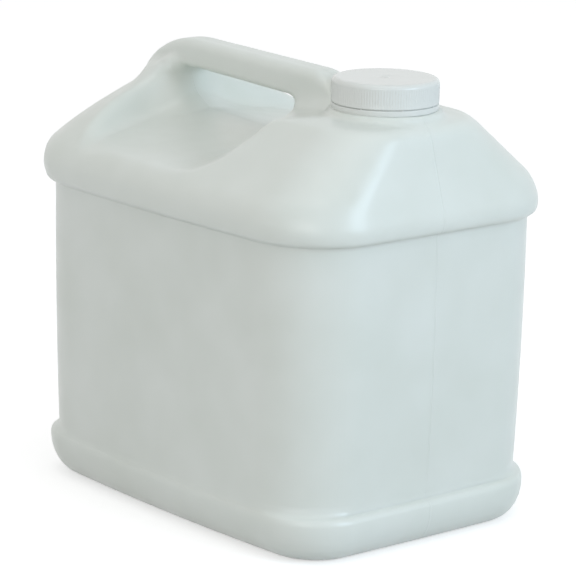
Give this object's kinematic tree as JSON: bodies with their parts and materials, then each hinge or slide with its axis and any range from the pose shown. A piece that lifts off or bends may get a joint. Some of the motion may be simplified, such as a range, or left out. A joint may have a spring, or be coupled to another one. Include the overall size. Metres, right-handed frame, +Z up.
{
  "type": "plastic jerrycan",
  "caption": "Blow-moulded plastic jerrycan with a carrying handle formed in its top, a hand scoop on either side of it and a screw cap with a tamper ring.",
  "frame": {"origin": "middle of the shoulder band in plan, on the surface that the can stands on", "axes": "+X along the can's length towards the neck, +Y across the can, +Z up; the mould parts on the plane Y = 0"},
  "size_m": [0.309, 0.23, 0.2977],
  "materials": {
    "can_plastic": "satin",
    "cap_plastic": "satin",
    "liner_foam": "matt"
  },
  "bodies": {
    "bottle": {"body": "can_plastic", "tamper_ring": "cap_plastic"},
    "liner": {"cap_liner": "liner_foam"},
    "cap": {"cap": "cap_plastic"}
  },
  "joints": [
    {"name": "cap_lift", "type": "slide", "parent": "bottle", "child": "liner", "axis": [0, 0, 1], "range_m": [0, 0.0064]},
    {"name": "cap_turn", "type": "hinge", "parent": "liner", "child": "cap", "pos_m": [0.095, 0, 0.29], "axis": [0, 0, 1], "range_deg": [0, 540]}
  ],
  "couplings": [
    {"joint": "cap_lift", "follows": "cap_turn", "m_per_rad": 0.00067371}
  ]
}
